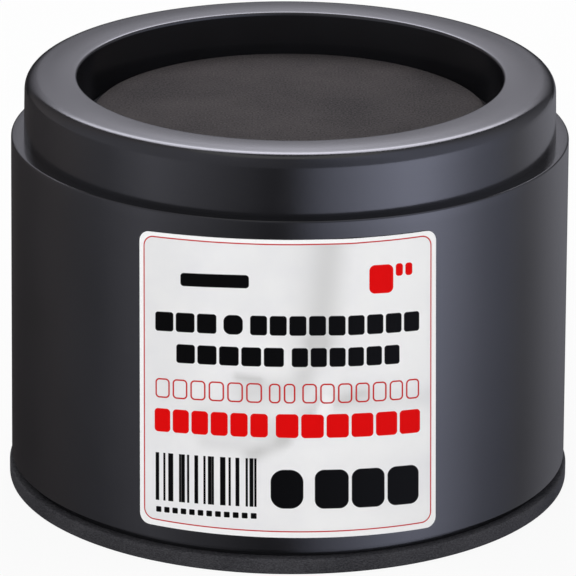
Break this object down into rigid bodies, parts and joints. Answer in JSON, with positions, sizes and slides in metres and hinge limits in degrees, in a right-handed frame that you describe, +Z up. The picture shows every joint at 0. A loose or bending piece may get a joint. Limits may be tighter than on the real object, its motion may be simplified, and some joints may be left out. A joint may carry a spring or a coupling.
{
  "type": "bed riser",
  "caption": "Round bed riser: a black moulded plastic block with a rimmed recess for a furniture leg, a foam seat, a foam base pad and a plain front label.",
  "frame": {"origin": "centre of the base pad's underside, on the floor", "axes": "+Z up along the riser's axis, -Y towards the label"},
  "size_m": [0.113, 0.113, 0.084],
  "materials": {
    "black_plastic": "satin black moulded plastic",
    "seat_foam": "matt fine-celled foam, warm dark grey",
    "base_foam": "matt fine-celled foam, dark grey",
    "label_paper": "coated white paper with red and black print"
  },
  "bodies": {
    "root": {"riser_body": "black_plastic", "seat_foam": "seat_foam", "base_foam_pad": "base_foam", "front_label": "label_paper"}
  },
  "joints": []
}
